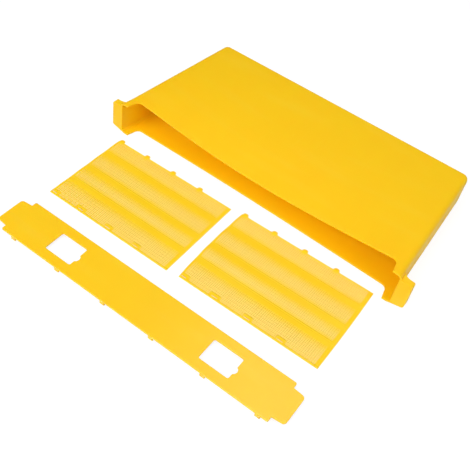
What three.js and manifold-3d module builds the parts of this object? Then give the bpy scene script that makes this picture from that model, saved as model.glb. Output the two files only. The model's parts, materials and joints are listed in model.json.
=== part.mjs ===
// In-hive frame feeder kit, laid out flat as it is sold: a thin trough on its wide side with its
// mouth towards -Y, the cap strip that closes the mouth, and two mesh ladders lying unfolded.
// Each ladder folds along three living hinges into the rectangular tube that stands in a cap hole.
// Millimetres, +Z up, X along the feeder's length.
import * as THREE from 'three';
import { mergeVertices } from 'three/addons/utils/BufferGeometryUtils.js';
import Module from 'manifold-3d';

const wasm = await Module();
wasm.setup();

// Cuts run past the faces that they cut by this much.
const overrun = 1;
// Two mouldings that lie against each other keep this gap.
const restGap = 0.3;

// Trough. Depth runs along +Y from the lug face, which is the top when the feeder hangs in a hive.
const troughLength = 482.6;
const troughDepth = 227.4;
const rimThickness = 54.4;
const bottomThickness = 50.2;
const wall = 2.6;
const lugOverhang = 16.7;
const endTaper = 13.2;
const cornerRadius = 7;
const bottomCornerRadius = 7;
const bottomEdgeRadius = 4;
// The wide walls stop below the lug face, so that the cap strip seats between the lugs.
const mouthDrop = 19.6;
const stepFromCorner = 4.7;
const stepDraft = 2.7;
const stepFillet = 8;
// The end walls flare out where they run into the lugs.
const rimFlare = 1.8;
const flareDepth = 30;
// A thin moulding this long draws in at the mouth: the wall on top more than the one on the floor.
const upperSag = 15;
const lowerSag = 2.8;
const sagCentre = -14;
const sagFadePower = 1.5;

// Hanging lugs: a closed top, a skirt and gussets below it. The low side rises towards the tip.
const lugDepth = 9.5;
const lugGusset = 13;
const lugTipRise = 6;
const lugCorner = 3;
const lugSkin = 2.6;

// Cap strip.
const capPlate = 2.4;
const capLip = 2.6;
const capEndClearance = 6.05;
const capSeatClearance = 0.6;
const capCorner = 2;
const tabClearance = 2.35;
const tabTaper = 1.5;
const snapCount = 6;
const snapFromEnd = 16.6;
// Each row of clips sits this far off the middle, to opposite ends.
const snapOffset = 3.4;
const snapLength = 7;
const snapHeight = 5;
const snapThickness = 2.2;
const snapLeadIn = 0.8;
const snapClearance = 0.4;
const holeFromMiddle = 119;
const holeCorner = 1.2;
const notchWidth = 10.4;
const notchDepth = 3.2;
const notchOffset = -2.6;

// Ladders. The folded tube's outside is tubeDeep by tubeWide, and slides in a cap hole.
const ladderLength = 199.6;
const tubeDeep = 40.4;
const tubeWide = 30.8;
const tubeClearance = 0.4;
const sheet = 1.4;
const eyeletFlap = 3;
// The solid strips that a fold lies between: the wide one is on its near side.
const bandBeforeFold = 7.2;
const bandAfterFold = 2.4;
const startBorder = 3.5;
const endBorder = 8;
const eyeletBorder = 2.6;
const knobBorder = 4;
const strand = 1.6;
const knobCount = 4;
const firstKnob = 5;
const knobPitch = 46.9;
const knobWidth = 6;
const knobReach = 3;
const eyeletPadLength = 13.6;
const eyeletPadDepth = 8.2;
const netColumns = 14;
const wideRows = 4;
const narrowRows = 3;

// How the loose pieces lie in front of the trough: none is quite square to it.
const leftLadderTurn = THREE.MathUtils.degToRad(1.56);
const leftLadderFromMiddle = 9.1;
const leftLadderFromTrough = 11;
const rightLadderTurn = THREE.MathUtils.degToRad(2.01);
const rightLadderFromMiddle = 7.8;
const rightLadderFromTrough = 0.7;
const capTurn = THREE.MathUtils.degToRad(1.6);
const capFromMiddle = 0.7;
const capFromLadder = 18.1;

// Facets: how finely the round and swept stretches are cut.
const cornerSteps = 4;
const filletSteps = 4;
const mouthSteps = 16;
const roundingSteps = 6;
const depthShares = [0, 0.04, 0.09, 0.16, 0.3, 0.5, 0.75, 1];

// The three mouldings' plastic.
const troughFinish = { color: '#fecb18', roughness: 0.42, metalness: 0 };
const capFinish = { color: '#fecd28', roughness: 0.38, metalness: 0 };
const ladderFinish = { color: '#fbd236', roughness: 0.5, metalness: 0 };

// Any three geometry as a solid.
function solid(geometry) {
  const bare = new THREE.BufferGeometry();
  bare.setAttribute('position', geometry.getAttribute('position'));
  if (geometry.index) bare.setIndex(geometry.index);
  const merged = mergeVertices(bare);
  const mesh = new wasm.Mesh({
    numProp: 3,
    vertProperties: new Float32Array(merged.getAttribute('position').array),
    triVerts: new Uint32Array(merged.index.array),
  });
  return new wasm.Manifold(mesh);
}

// A solid as a named mesh with its own material.
function piece(name, body, finish) {
  const { vertProperties, triVerts } = body.getMesh();
  const geometry = new THREE.BufferGeometry();
  geometry.setAttribute('position', new THREE.BufferAttribute(vertProperties, 3));
  geometry.setIndex(new THREE.BufferAttribute(triVerts, 1));
  const faceted = geometry.toNonIndexed();
  faceted.computeVertexNormals();
  const mesh = new THREE.Mesh(faceted, new THREE.MeshStandardMaterial(finish));
  mesh.name = name;
  return mesh;
}

// A plan outline in X and Y, raised from low to high along Z.
function raised(shape, low, high, curveSegments = filletSteps) {
  const geometry = new THREE.ExtrudeGeometry(shape, {
    depth: high - low,
    bevelEnabled: false,
    curveSegments,
  });
  geometry.translate(0, 0, low);
  return solid(geometry);
}

// A section in Y and Z, drawn out along X.
function drawnAlongX(shape, low, high) {
  const geometry = new THREE.ExtrudeGeometry(shape, { depth: high - low, bevelEnabled: false });
  geometry.translate(0, 0, low);
  const turn = new THREE.Matrix4().makeBasis(
    new THREE.Vector3(0, 1, 0),
    new THREE.Vector3(0, 0, 1),
    new THREE.Vector3(1, 0, 0),
  );
  geometry.applyMatrix4(turn);
  return solid(geometry);
}

// An elevation in X and Z, drawn out along Y.
function drawnAlongY(shape, low, high) {
  const geometry = new THREE.ExtrudeGeometry(shape, {
    depth: high - low,
    bevelEnabled: false,
    curveSegments: filletSteps,
  });
  geometry.rotateX(Math.PI / 2);
  geometry.translate(0, high, 0);
  return solid(geometry);
}

function rectangle(x0, y0, x1, y1) {
  const points = [[x0, y0], [x1, y0], [x1, y1], [x0, y1]];
  return new THREE.Shape(points.map(([x, y]) => new THREE.Vector2(x, y)));
}

// A closed outline through corners, each rounded by its own radius.
function roundedOutline(corners) {
  const shape = new THREE.Shape();
  corners.forEach(({ x, y, radius = 0 }, i) => {
    const here = new THREE.Vector2(x, y);
    const before = corners[(i + corners.length - 1) % corners.length];
    const after = corners[(i + 1) % corners.length];
    const back = new THREE.Vector2(before.x, before.y).sub(here).setLength(radius).add(here);
    const ahead = new THREE.Vector2(after.x, after.y).sub(here).setLength(radius).add(here);
    if (i === 0) shape.moveTo(back.x, back.y);
    else shape.lineTo(back.x, back.y);
    if (radius > 0) shape.quadraticCurveTo(x, y, ahead.x, ahead.y);
  });
  shape.closePath();
  return shape;
}

// Trough sizes that follow from the driving ones.
const tip = troughLength / 2;
const endHalfAtRim = tip - lugOverhang;
const endHalfAtBottom = endHalfAtRim - endTaper;
const stepTopX = endHalfAtRim - cornerRadius - stepFromCorner;
const stepFootX = stepTopX - stepDraft;
const straightEnd = troughDepth - bottomCornerRadius;
const lugHigh = rimThickness - cornerRadius;

// Outer thickness across the wide walls at a depth.
function thicknessAt(depth) {
  return THREE.MathUtils.lerp(rimThickness, bottomThickness, depth / troughDepth);
}

// Half of the flat stretch of a wide wall, up to where its corners start.
function flatHalfAt(depth) {
  return THREE.MathUtils.lerp(endHalfAtRim, endHalfAtBottom, depth / troughDepth) - cornerRadius;
}

function flareAt(depth) {
  return rimFlare * Math.max(0, 1 - depth / flareDepth) ** 2;
}

// How far the wide walls draw in: most at the middle of the mouth, nothing at the floor and ends.
function sagShareAt(x, depth) {
  const reach = x < sagCentre ? stepFootX + sagCentre : stepFootX - sagCentre;
  const along = Math.min(1, Math.abs(x - sagCentre) / reach);
  const down = THREE.MathUtils.clamp((depth - mouthDrop) / (troughDepth - mouthDrop), 0, 1);
  return Math.cos(along * Math.PI / 2) * (1 - down) ** sagFadePower;
}

// The rim of a wide wall in plan, from one end to the other: lug, step, fillet, mouth and back.
function rimPlan() {
  const half = [];
  for (let i = 0; i <= mouthSteps / 2; i += 1) {
    half.push({ x: (stepFootX - stepFillet) * i / (mouthSteps / 2), y: mouthDrop });
  }
  for (let i = 1; i <= filletSteps; i += 1) {
    const angle = Math.PI / 2 * i / filletSteps;
    half.push({
      x: stepFootX - stepFillet * (1 - Math.sin(angle)),
      y: mouthDrop - stepFillet * (1 - Math.cos(angle)),
    });
  }
  half.push({ x: stepTopX, y: 0 });
  half.push({ x: flatHalfAt(0), y: 0 });
  const mirrored = half.slice(1).reverse().map(({ x, y }) => ({ x: -x, y }));
  return [...mirrored, ...half];
}

// The stations round the trough's section, clockwise as seen through the mouth.
function sectionStations() {
  const wide = rimPlan().map(({ x, y }) => ({ share: x / flatHalfAt(y), rim: y }));
  const falling = [];
  for (let i = 1; i <= cornerSteps; i += 1) falling.push(Math.PI / 2 * (1 - i / cornerSteps));
  const rising = [...falling].reverse();
  const corner = (level, end) => (angle) => ({ level, end, angle, rim: 0 });
  return [
    ...wide.map((station) => ({ ...station, level: 1 })),
    ...falling.map(corner(1, 1)),
    ...rising.map(corner(-1, 1)),
    ...[...wide].reverse().map((station) => ({ ...station, level: -1 })),
    ...falling.map(corner(-1, -1)),
    ...rising.map(corner(1, -1)),
  ];
}

// The point of a station at a depth, moved inwards by inset. Near the bottom the section shrinks
// along the two roundings, whose heights above the bottom are measured from the inset bottom.
function troughPoint(station, depth, inset) {
  const height = troughDepth - inset - depth;
  const pull = (radius) => {
    const rise = Math.max(0, radius - height);
    return radius - Math.sqrt(Math.max(0, radius * radius - rise * rise));
  };
  const flat = flatHalfAt(depth) - pull(bottomCornerRadius - inset);
  const drawIn = pull(bottomEdgeRadius - inset);
  const top = thicknessAt(depth);
  let x;
  let below;
  if (station.end === undefined) {
    x = station.share * flat;
    const sag = station.level > 0 ? upperSag : lowerSag;
    below = inset + drawIn + sag * sagShareAt(x, depth);
  } else {
    const across = cornerRadius + flareAt(depth) - inset;
    x = station.end * (flat + across * Math.cos(station.angle));
    below = cornerRadius - (cornerRadius - inset - drawIn) * Math.sin(station.angle);
  }
  const z = station.level > 0 ? top - below : below;
  return new THREE.Vector3(x, depth, z);
}

// Rows of points from the rim to the bottom. The rim of a filled body is flat, at startDepth.
function troughRows(stations, inset, startDepth) {
  const rows = depthShares.map((share) => stations.map((station) => {
    const start = startDepth ?? station.rim;
    return troughPoint(station, THREE.MathUtils.lerp(start, straightEnd, share), inset);
  }));
  const radius = bottomCornerRadius - inset;
  for (let i = 1; i <= roundingSteps; i += 1) {
    const rise = radius * Math.sin(Math.PI / 2 * i / roundingSteps);
    const depth = straightEnd + rise;
    rows.push(stations.map((station) => troughPoint(station, depth, inset)));
  }
  return rows;
}

// A closed body from one or two grids of rows: bands, end fans and the strip that joins two rims.
function lofted(outer, inner) {
  const count = outer[0].length;
  const positions = [];
  const triangles = [];
  const add = (point) => positions.push(point.x, point.y, point.z) / 3 - 1;
  const addRow = (row) => row.map(add);
  const middle = (row) => row.reduce((sum, p) => sum.add(p), new THREE.Vector3())
    .divideScalar(row.length);
  const face = (a, b, c, inward) => triangles.push(...(inward ? [c, b, a] : [a, b, c]));
  const grid = (rows, inward) => {
    const ids = rows.map(addRow);
    for (let k = 0; k + 1 < ids.length; k += 1) {
      for (let i = 0; i < count; i += 1) {
        const j = (i + 1) % count;
        face(ids[k][i], ids[k][j], ids[k + 1][j], inward);
        face(ids[k][i], ids[k + 1][j], ids[k + 1][i], inward);
      }
    }
    const last = ids.at(-1);
    const centre = add(middle(rows.at(-1)));
    for (let i = 0; i < count; i += 1) face(last[i], last[(i + 1) % count], centre, inward);
    return ids[0];
  };
  const outerRim = grid(outer, false);
  if (inner) {
    const innerRim = grid(inner, true);
    for (let i = 0; i < count; i += 1) {
      const j = (i + 1) % count;
      face(outerRim[i], innerRim[i], innerRim[j], false);
      face(outerRim[i], innerRim[j], outerRim[j], false);
    }
  } else {
    const centre = add(middle(outer[0]));
    for (let i = 0; i < count; i += 1) {
      face(outerRim[(i + 1) % count], outerRim[i], centre, false);
    }
  }
  const geometry = new THREE.BufferGeometry();
  geometry.setAttribute('position', new THREE.Float32BufferAttribute(positions, 3));
  geometry.setIndex(triangles);
  return solid(geometry);
}

// One hanging lug on the +X end: closed top face, outer skirt, three gussets run out to the wall.
function lug(stations) {
  const wallAtGusset = flatHalfAt(lugDepth + lugGusset) + cornerRadius;
  const root = flatHalfAt(0);
  const gussetFoot = lugDepth + lugGusset;
  const plan = new THREE.Shape();
  plan.moveTo(root, 0);
  plan.lineTo(tip, 0);
  plan.lineTo(tip, lugDepth);
  plan.lineTo(wallAtGusset + lugGusset, lugDepth);
  plan.quadraticCurveTo(wallAtGusset, lugDepth, wallAtGusset, gussetFoot);
  plan.lineTo(root, gussetFoot);
  plan.closePath();
  const elevation = roundedOutline([
    { x: root, y: 0 },
    { x: tip, y: lugTipRise, radius: lugCorner },
    { x: tip, y: lugHigh, radius: lugCorner },
    { x: root, y: lugHigh },
  ]);
  const midWall = lofted(troughRows(stations, wall / 2, -overrun));
  const outside = lofted(troughRows(stations, 0, -overrun));
  const block = raised(plan, 0, lugHigh)
    .intersect(drawnAlongY(elevation, -overrun, gussetFoot + overrun))
    .subtract(midWall);
  const middle = (lugTipRise + lugHigh) / 2;
  const pocketEnd = tip - lugSkin;
  const lowPocket = roundedOutline([
    { x: root, y: lugSkin },
    { x: pocketEnd, y: lugTipRise + lugSkin },
    { x: pocketEnd, y: middle - lugSkin / 2 },
    { x: root, y: middle - lugSkin / 2 },
  ]);
  const highPocket = rectangle(root, middle + lugSkin / 2, pocketEnd, lugHigh - lugSkin);
  return [lowPocket, highPocket].reduce((body, outline) => {
    const pocket = drawnAlongY(outline, lugSkin, gussetFoot + overrun);
    return body.subtract(pocket.subtract(outside));
  }, block);
}

function trough() {
  const stations = sectionStations();
  const shell = lofted(troughRows(stations, 0), troughRows(stations, wall));
  const right = lug(stations);
  const left = right.mirror([1, 0, 0]);
  return shell.add(right).add(left);
}

// Cap sizes that follow from the trough's mouth and from the folded ladder.
const capHalfLength = endHalfAtRim + rimFlare - wall - capEndClearance;
const capMainHalf = stepFootX - stepFillet - capSeatClearance;
const capHalfWidth = thicknessAt(mouthDrop) / 2 + capLip;
const tabRootHalf = rimThickness / 2 - wall - tabClearance;
const tabEndHalf = tabRootHalf - tabTaper;
const holeHalfLength = tubeDeep / 2 + tubeClearance;
const holeHalfWidth = tubeWide / 2 + tubeClearance;
const snapInnerFace = thicknessAt(mouthDrop) / 2 + snapClearance;
// A cubic curve stands out to this share of its two middle points.
const curvePeakShare = 0.75;

// One ladder hole, with the finger notch in its +X side.
function capHole(x) {
  const radius = holeCorner;
  const hole = roundedOutline([
    { x: x - holeHalfLength, y: -holeHalfWidth, radius },
    { x: x + holeHalfLength, y: -holeHalfWidth, radius },
    { x: x + holeHalfLength, y: holeHalfWidth, radius },
    { x: x - holeHalfLength, y: holeHalfWidth, radius },
  ]);
  const edge = x + holeHalfLength;
  const pull = edge + notchDepth / curvePeakShare;
  const notchLow = notchOffset - notchWidth / 2;
  const notchHigh = notchOffset + notchWidth / 2;
  const notch = new THREE.Shape();
  notch.moveTo(edge - overrun, notchLow);
  notch.lineTo(edge, notchLow);
  notch.bezierCurveTo(
    pull,
    notchLow + notchWidth / 4,
    pull,
    notchHigh - notchWidth / 4,
    edge,
    notchHigh,
  );
  notch.lineTo(edge - overrun, notchHigh);
  notch.closePath();
  const low = snapHeight - overrun;
  const high = snapHeight + capPlate + overrun;
  return raised(hole, low, high).add(raised(notch, low, high));
}

// The clips under one long edge: they hang outside the trough's wide wall, with a lead-in inside.
function snapRow(side) {
  const section = new THREE.Shape();
  const top = snapHeight + capPlate / 2;
  section.moveTo(side * snapInnerFace, top);
  section.lineTo(side * snapInnerFace, snapLeadIn);
  section.lineTo(side * (snapInnerFace + snapLeadIn), 0);
  section.lineTo(side * (snapInnerFace + snapThickness), 0);
  section.lineTo(side * (snapInnerFace + snapThickness), top);
  section.closePath();
  const outermost = capMainHalf - snapFromEnd;
  const row = [];
  for (let i = 0; i < snapCount; i += 1) {
    const x = THREE.MathUtils.lerp(-outermost, outermost, i / (snapCount - 1)) - side * snapOffset;
    row.push(drawnAlongX(section, x - snapLength / 2, x + snapLength / 2));
  }
  return row;
}

function cap() {
  const edge = [];
  const corner = (x, y) => edge.push({ x, y, radius: capCorner });
  for (const [end, order] of [[1, -1], [-1, 1]]) {
    corner(end * capMainHalf, order * capHalfWidth);
    edge.push({ x: end * capMainHalf, y: order * tabRootHalf });
    corner(end * capHalfLength, order * tabEndHalf);
    corner(end * capHalfLength, -order * tabEndHalf);
    edge.push({ x: end * capMainHalf, y: -order * tabRootHalf });
    corner(end * capMainHalf, -order * capHalfWidth);
  }
  let body = raised(roundedOutline(edge), snapHeight, snapHeight + capPlate);
  for (const x of [-holeFromMiddle, holeFromMiddle]) body = body.subtract(capHole(x));
  for (const snap of [...snapRow(-1), ...snapRow(1)]) body = body.add(snap);
  return body;
}

// A ladder panel lies from y = 0 to its width. A hinged edge is cut back at 45 degrees from its
// hinge line on the underside, so that two panels folded square meet without overlap.
function netPanel({ width, hingedNear, hingedFar, nearBorder, farBorder, rows }) {
  const section = new THREE.Shape();
  const near = hingedNear ? restGap / 2 : 0;
  const far = hingedFar ? width - restGap / 2 : width;
  section.moveTo(near, 0);
  section.lineTo(far, 0);
  section.lineTo(hingedFar ? far - sheet : far, sheet);
  section.lineTo(hingedNear ? near + sheet : near, sheet);
  section.closePath();
  const columnPitch = (ladderLength - startBorder - endBorder + strand) / netColumns;
  const rowPitch = (width - nearBorder - farBorder + strand) / rows;
  const gaps = [];
  for (let i = 0; i < netColumns; i += 1) {
    for (let j = 0; j < rows; j += 1) {
      const x = startBorder + i * columnPitch;
      const y = nearBorder + j * rowPitch;
      gaps.push(rectangle(x, y, x + columnPitch - strand, y + rowPitch - strand));
    }
  }
  return drawnAlongX(section, 0, ladderLength).subtract(raised(gaps, -overrun, sheet + overrun));
}

function knobCentres() {
  return Array.from({ length: knobCount }, (_, i) => firstKnob + i * knobPitch);
}

// The panel widths: the eyelet side is as deep as the tube, and stands past the knob side's face
// by the eyelet flap. The knob side fits between the back side's outer face and its inner face.
const backWidth = tubeDeep - eyeletFlap;
const knobSideWidth = tubeWide - sheet - tubeClearance;
const ladderWidth = tubeDeep + tubeWide + backWidth + knobSideWidth;
const eyeletCentre = eyeletFlap + sheet / 2;

function eyeletSide() {
  let body = netPanel({
    width: tubeDeep,
    hingedNear: false,
    hingedFar: true,
    nearBorder: eyeletBorder,
    farBorder: bandBeforeFold,
    rows: wideRows,
  });
  for (const x of knobCentres()) {
    const padLow = Math.max(0, x - eyeletPadLength / 2);
    const pad = rectangle(padLow, 0, x + eyeletPadLength / 2, eyeletPadDepth);
    const slotHalf = knobWidth / 2 + tubeClearance;
    const slotTop = eyeletCentre + sheet / 2 + tubeClearance;
    const slotLow = eyeletCentre - sheet / 2 - tubeClearance;
    const slot = rectangle(x - slotHalf, slotLow, x + slotHalf, slotTop);
    body = body.add(raised(pad, 0, sheet)).subtract(raised(slot, -overrun, sheet + overrun));
  }
  return body;
}

function knobSide() {
  let body = netPanel({
    width: knobSideWidth,
    hingedNear: true,
    hingedFar: false,
    nearBorder: bandAfterFold,
    farBorder: knobBorder,
    rows: narrowRows,
  });
  const reach = knobSideWidth + sheet + tubeClearance + knobReach;
  for (const x of knobCentres()) {
    const knob = roundedOutline([
      { x: x - knobWidth / 2, y: knobSideWidth - knobBorder / 2 },
      { x: x + knobWidth / 2, y: knobSideWidth - knobBorder / 2 },
      { x: x + knobWidth / 2, y: reach, radius: knobWidth / 4 },
      { x: x - knobWidth / 2, y: reach, radius: knobWidth / 4 },
    ]);
    body = body.add(raised(knob, 0, sheet));
  }
  return body;
}

function plainSide(width, rows) {
  return netPanel({
    width,
    hingedNear: true,
    hingedFar: true,
    nearBorder: bandAfterFold,
    farBorder: bandBeforeFold,
    rows,
  });
}

// A ladder whose far edge stays fromTrough clear of the lug face, however far it is turned.
function ladder({ name, x, turn, fromTrough }) {
  const group = new THREE.Group();
  const panels = [
    { part: 'eyelet_side', body: eyeletSide(), width: tubeDeep },
    { part: 'base', body: plainSide(tubeWide, narrowRows), width: tubeWide },
    { part: 'back_side', body: plainSide(backWidth, wideRows), width: backWidth },
    { part: 'knob_side', body: knobSide(), width: knobSideWidth },
  ];
  let edge = 0;
  for (const { part, body, width } of panels) {
    const mesh = piece(`${name}_${part}`, body, ladderFinish);
    mesh.position.y = edge;
    group.add(mesh);
    edge += width;
  }
  const farCorner = ladderWidth * Math.cos(turn) + ladderLength * Math.sin(turn);
  group.position.set(x, -farCorner - fromTrough, 0);
  group.rotation.z = turn;
  return group;
}

const kit = new THREE.Group();
kit.add(piece('trough', trough(), troughFinish));

const leftLadder = ladder({
  name: 'ladder_left',
  x: -ladderLength - leftLadderFromMiddle,
  turn: leftLadderTurn,
  fromTrough: leftLadderFromTrough,
});
const rightLadder = ladder({
  name: 'ladder_right',
  x: rightLadderFromMiddle,
  turn: rightLadderTurn,
  fromTrough: rightLadderFromTrough,
});
kit.add(leftLadder, rightLadder);

const capMesh = piece('cap', cap(), capFinish);
const capFarCorner = capHalfWidth * Math.cos(capTurn) + capHalfLength * Math.sin(capTurn);
const ladderEdge = Math.min(leftLadder.position.y, rightLadder.position.y);
capMesh.position.set(capFromMiddle, ladderEdge - capFromLadder - capFarCorner, 0);
capMesh.rotation.z = capTurn;
kit.add(capMesh);

// The origin is on the floor, under the middle of the laid-out kit.
const footprint = new THREE.Box3().setFromObject(kit, true);
const middle = footprint.getCenter(new THREE.Vector3());
kit.position.set(-middle.x, -middle.y, -footprint.min.z);
kit.updateMatrixWorld(true);

export default kit;
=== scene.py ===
import json
import math
from collections import namedtuple
from itertools import accumulate

import bmesh
import bpy
import numpy as np
from mathutils import Matrix, Vector


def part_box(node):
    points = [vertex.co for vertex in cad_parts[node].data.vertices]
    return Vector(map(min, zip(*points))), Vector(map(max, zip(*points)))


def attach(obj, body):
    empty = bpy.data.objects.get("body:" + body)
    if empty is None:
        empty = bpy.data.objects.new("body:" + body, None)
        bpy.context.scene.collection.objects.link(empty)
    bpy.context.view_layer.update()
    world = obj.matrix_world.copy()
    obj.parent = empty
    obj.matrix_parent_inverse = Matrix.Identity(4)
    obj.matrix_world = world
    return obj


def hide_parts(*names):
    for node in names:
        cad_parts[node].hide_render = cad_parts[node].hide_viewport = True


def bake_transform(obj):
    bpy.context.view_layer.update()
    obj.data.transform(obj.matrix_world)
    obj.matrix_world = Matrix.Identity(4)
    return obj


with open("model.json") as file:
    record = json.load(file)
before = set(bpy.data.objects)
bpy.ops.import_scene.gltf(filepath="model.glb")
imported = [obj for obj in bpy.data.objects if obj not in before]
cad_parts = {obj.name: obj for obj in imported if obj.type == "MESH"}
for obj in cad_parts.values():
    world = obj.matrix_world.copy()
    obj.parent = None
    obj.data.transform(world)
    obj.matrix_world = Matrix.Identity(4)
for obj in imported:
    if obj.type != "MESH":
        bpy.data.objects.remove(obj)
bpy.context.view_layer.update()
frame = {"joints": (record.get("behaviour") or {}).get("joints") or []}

# In-hive frame feeder kit: a thin yellow trough on its wide side, two mesh ladders lying unfolded
# and the cap strip. Shapes are worked out in millimetres in each piece's own frame, and a
# placement matrix brings them to the scene's metres.
MM = 0.001
UP = Vector((0, 0, 1))

# Angles, in degrees, above which an edge between two faces stays sharp.
TROUGH_SHARP = 30
CAP_SHARP = 40
NET_SHARP = 38
OTHER_SHARP = 32

# Trough. Depth runs along +Y from the lug face.
TROUGH_LENGTH = 482.6
TROUGH_DEPTH = 227.4
RIM_THICKNESS = 54.4
BOTTOM_THICKNESS = 50.2
WALL = 2.6
LUG_OVERHANG = 16.7
END_TAPER = 13.2
CORNER_RADIUS = 7.0
BOTTOM_CORNER_RADIUS = 7.0
BOTTOM_EDGE_RADIUS = 4.0
MOUTH_DROP = 19.6
STEP_FROM_CORNER = 4.7
STEP_DRAFT = 2.7
STEP_FILLET = 8.0
RIM_FLARE = 1.8
FLARE_DEPTH = 30.0
UPPER_SAG = 15.0
LOWER_SAG = 2.8
SAG_CENTRE = -14.0
SAG_FADE_POWER = 1.5
# The wide walls run into their ends over about this share of their half length, without a crease.
SAG_EASE_SHARE = 0.035
LIP_RADIUS = 0.55
# Rows of points along the draft of the mouth's step, as shares of its height.
DRAFT_SHARES = (0.35, 0.7, 1)

# Lugs. Their low side rises towards the tip.
LUG_DEPTH = 9.5
LUG_GUSSET = 13.0
LUG_TIP_RISE = 6.0
LUG_CORNER = 3.0
LUG_SKIN = 2.6
LUG_EDGE = 0.7
# The roundings of a lug's section, as a share of LUG_EDGE.
LUG_EDGE_SHARE = 0.999
LUG_EDGE_STEPS = 3
LUG_GUSSET_STEPS = 12
LUG_TIP_STEPS = 7
# The last sections before the tip, as shares of the edge's radius.
LUG_LAST_SHARES = (0.12, 0.004)
# How far a cutting body runs past what it cuts.
OVERRUN = 1.0

# Cap strip.
CAP_PLATE = 2.4
CAP_LIP = 2.6
CAP_END_CLEARANCE = 6.05
CAP_SEAT_CLEARANCE = 0.6
CAP_CORNER = 2.4
TAB_CORNER = 4.6
TAB_ROOT_CORNER = 0.6
CAP_EDGE = 0.5
CAP_TURN = math.radians(1.6)
TAB_CLEARANCE = 2.35
TAB_TAPER = 1.5
SNAP_COUNT = 6
SNAP_FROM_END = 16.6
SNAP_OFFSET = 3.4
SNAP_LENGTH = 7.0
SNAP_HEIGHT = 5.0
SNAP_THICKNESS = 2.2
SNAP_LEAD_IN = 0.8
SNAP_CLEARANCE = 0.4
SNAP_EDGE = 0.4
HOLE_FROM_MIDDLE = 119.0
HOLE_CORNER = 2.6
HOLE_CORNER_STEPS = 5
NOTCH_WIDTH = 10.4
NOTCH_DEPTH = 3.2
NOTCH_OFFSET = -2.6
NOTCH_STEPS = 16
NOTCH_POWER = 0.75
BEVEL_STEPS = 2
WELD_DISTANCE = 1e-4

# Ladders.
LADDER_LENGTH = 199.6
TUBE_DEEP = 40.4
TUBE_WIDE = 30.8
TUBE_CLEARANCE = 0.4
SHEET = 1.4
EYELET_FLAP = 3.0
# The solid strips that a fold lies between.
BAND_BEFORE_FOLD = 7.2
BAND_AFTER_FOLD = 2.4
START_BORDER = 2.4
END_BORDER = 5.4
EYELET_BORDER = 2.6
KNOB_BORDER = 1.7
KNOB_COUNT = 4
FIRST_KNOB = 5.0
KNOB_PITCH = 46.9
KNOB_WIDTH = 8.2
KNOB_REACH = 3.0
KNOB_HEIGHT = 1.1
KNOB_ROOT = 3.8
PEBBLE_POWER = 0.75
PEBBLE_RINGS = 12
PEBBLE_STEPS = 24
PAD_LENGTH = 13.6
PAD_DEPTH = 8.2
SLOT_ROOM = 0.1
SLOT_ROOM_ALONG = 0.3
# The net: strands with rounded tops round small gaps. Every second strand is heavier.
NET_ALONG = 2.575
NET_ACROSS = 2.27
GAP = 1.15
GAP_AT_BAND = 0.45
BORDER_REACH = 1.5
REACH_BEFORE_FOLD = 13.0
REACH_AFTER_FOLD = 6.0
PAIRING = 0.12
NET_LOW = 0.25
NET_EDGE = 0.55
FINE_CROWN = 0.16
HEAVY_EDGE = 0.1
HEAVY_CROWN = 0.34
LEAN = 0.1
BAND_HIGH = 0.85
BAND_SLOPE = 0.5
EDGE_ROUND = 0.4
END_EDGE = 0.6
# The living hinge. Panels end PANEL_END from their fold, as thick as PANEL_END_THICKNESS, and rise to
# the band at GROOVE_HALF. The web fills this groove and dips a little along its middle.
PANEL_END = 0.35
PANEL_END_THICKNESS = 0.25
GROOVE_HALF = 0.95
WEB_LAP = 0.15
WEB_SKIN = 0.02
WEB_DIP = 0.12
WEB_POINTS_ALONG = 61
WEB_POINTS_ACROSS = 15
# Net lines closer than this to a fixed line are left out.
LINE_SPACING = 0.07
PAD_TOLERANCE = 0.01
# How the loose ladders lie: low ripples, a curl at the start, and ends that bow out.
RIPPLE = 0.3
START_CURL = 45.0
Lie = namedtuple("Lie", "wave phase lift start_lift start_bow end_bow")
LADDERS = {
    "left": Lie(wave=71.0, phase=1.3, lift=0.6, start_lift=0.2, start_bow=0.0, end_bow=0.0),
    "right": Lie(wave=83.0, phase=3.4, lift=0.4, start_lift=0.7, start_bow=2.2, end_bow=0.8),
}
PANELS = ("eyelet_side", "base", "back_side", "knob_side")
FOLDS = ("eyelet_fold", "back_fold", "knob_fold")


# Numbers.

def lerp(low, high, share):
    return low + (high - low) * share


def ramp(distance, start, end):
    """0 up to the start, 1 from the end on, and a straight rise between them."""
    return np.clip((distance - start) / (end - start), 0, 1)


# Meshes.

def mesh_object(name, points, faces, placement, smooth_angle=OTHER_SHARP):
    """A named object at the origin, with its place in its mesh."""
    matrix = np.array(placement)
    places = np.asarray(points) @ matrix[:3, :3].T + matrix[:3, 3]
    mesh = bpy.data.meshes.new(name)
    mesh.from_pydata(places.tolist(), [], [list(face) for face in faces])
    mesh.validate()
    obj = bpy.data.objects.new(name, mesh)
    bpy.context.scene.collection.objects.link(obj)
    smooth(mesh, smooth_angle)
    return obj


def smooth(mesh, degrees):
    mesh.polygons.foreach_set("use_smooth", [True] * len(mesh.polygons))
    mesh.set_sharp_from_angle(angle=math.radians(degrees))
    mesh.update()


def apply_modifiers(obj):
    graph = bpy.context.evaluated_depsgraph_get()
    mesh = bpy.data.meshes.new_from_object(obj.evaluated_get(graph), depsgraph=graph)
    old = obj.data
    obj.modifiers.clear()
    obj.data = mesh
    mesh.name = old.name
    bpy.data.meshes.remove(old)


def combine(obj, other, operation):
    """Joins other to obj, or cuts it out, and deletes other."""
    modifier = obj.modifiers.new("combine", "BOOLEAN")
    modifier.operation = operation
    modifier.solver = "MANIFOLD"
    modifier.object = other
    apply_modifiers(obj)
    old = other.data
    bpy.data.objects.remove(other)
    bpy.data.meshes.remove(old)


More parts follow.
